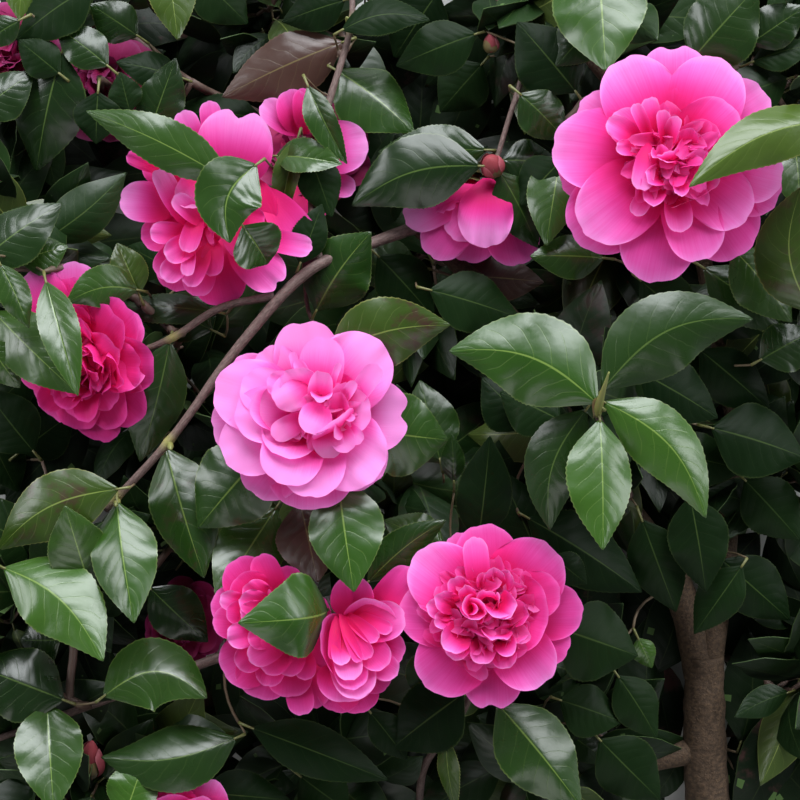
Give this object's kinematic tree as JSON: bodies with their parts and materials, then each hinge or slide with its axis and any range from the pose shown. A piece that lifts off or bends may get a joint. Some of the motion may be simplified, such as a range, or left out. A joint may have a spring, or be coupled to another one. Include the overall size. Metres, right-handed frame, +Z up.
{
  "type": "cut flowering camellia branch",
  "caption": "Cut flowering camellia bough lying down: a forked woody stem with thin branches, dense masses of glossy leaves and large ruffled pink double blooms.",
  "frame": {"origin": "on the surface that the bough lies on, under the middle of its box", "axes": "+Z up from the surface, +Y from the cut end towards the far tips, +X to the right when seen from above with the cut end nearest"},
  "size_m": [0.5586, 0.5532, 0.1919],
  "materials": {
    "bark": "thin grey-brown bark with fine cracks, pale fresh wood at the cut end",
    "twig": "smooth reddish-brown young bark with yellow-green leaf nodes",
    "petal": "soft matte petals, pale pink at the edges and deep pink in the folds",
    "leaf": "glossy leathery leaves with a pale midrib and a finely toothed edge"
  },
  "bodies": {
    "root": {"main_stem": "bark", "limb_left": "bark", "limb_right": "bark", "limb_low": "bark", "branch_a": "twig", "branch_b": "twig", "branch_c": "twig", "branch_d": "twig", "branch_e": "twig", "branch_f": "twig", "whorl_twig": "twig", "bloom_front_left": "petal", "bloom_upper_right": "petal", "bloom_lower_middle": "petal", "bloom_pair_left": "petal", "bloom_pair_right": "petal", "bloom_far_left": "petal", "bloom_upper_left": "petal", "bloom_behind_stem": "petal", "bloom_drooping": "petal", "bloom_corner": "petal", "bloom_deep_left": "petal", "bloom_bottom": "petal", "bloom_deep_low": "petal", "foliage_top_left": "leaf", "foliage_top_middle": "leaf", "foliage_top_right": "leaf", "foliage_upper_right": "leaf", "foliage_upper_middle": "leaf", "foliage_upper_inner": "leaf", "foliage_right": "leaf", "foliage_right_middle": "leaf", "foliage_right_low": "leaf", "foliage_whorl": "leaf", "foliage_left": "leaf", "foliage_left_inner": "leaf", "foliage_lower_left": "leaf", "foliage_middle": "leaf", "foliage_middle_left": "leaf", "foliage_bottom_left": "leaf", "foliage_bottom_middle": "leaf", "foliage_bottom_right": "leaf"}
  },
  "joints": []
}
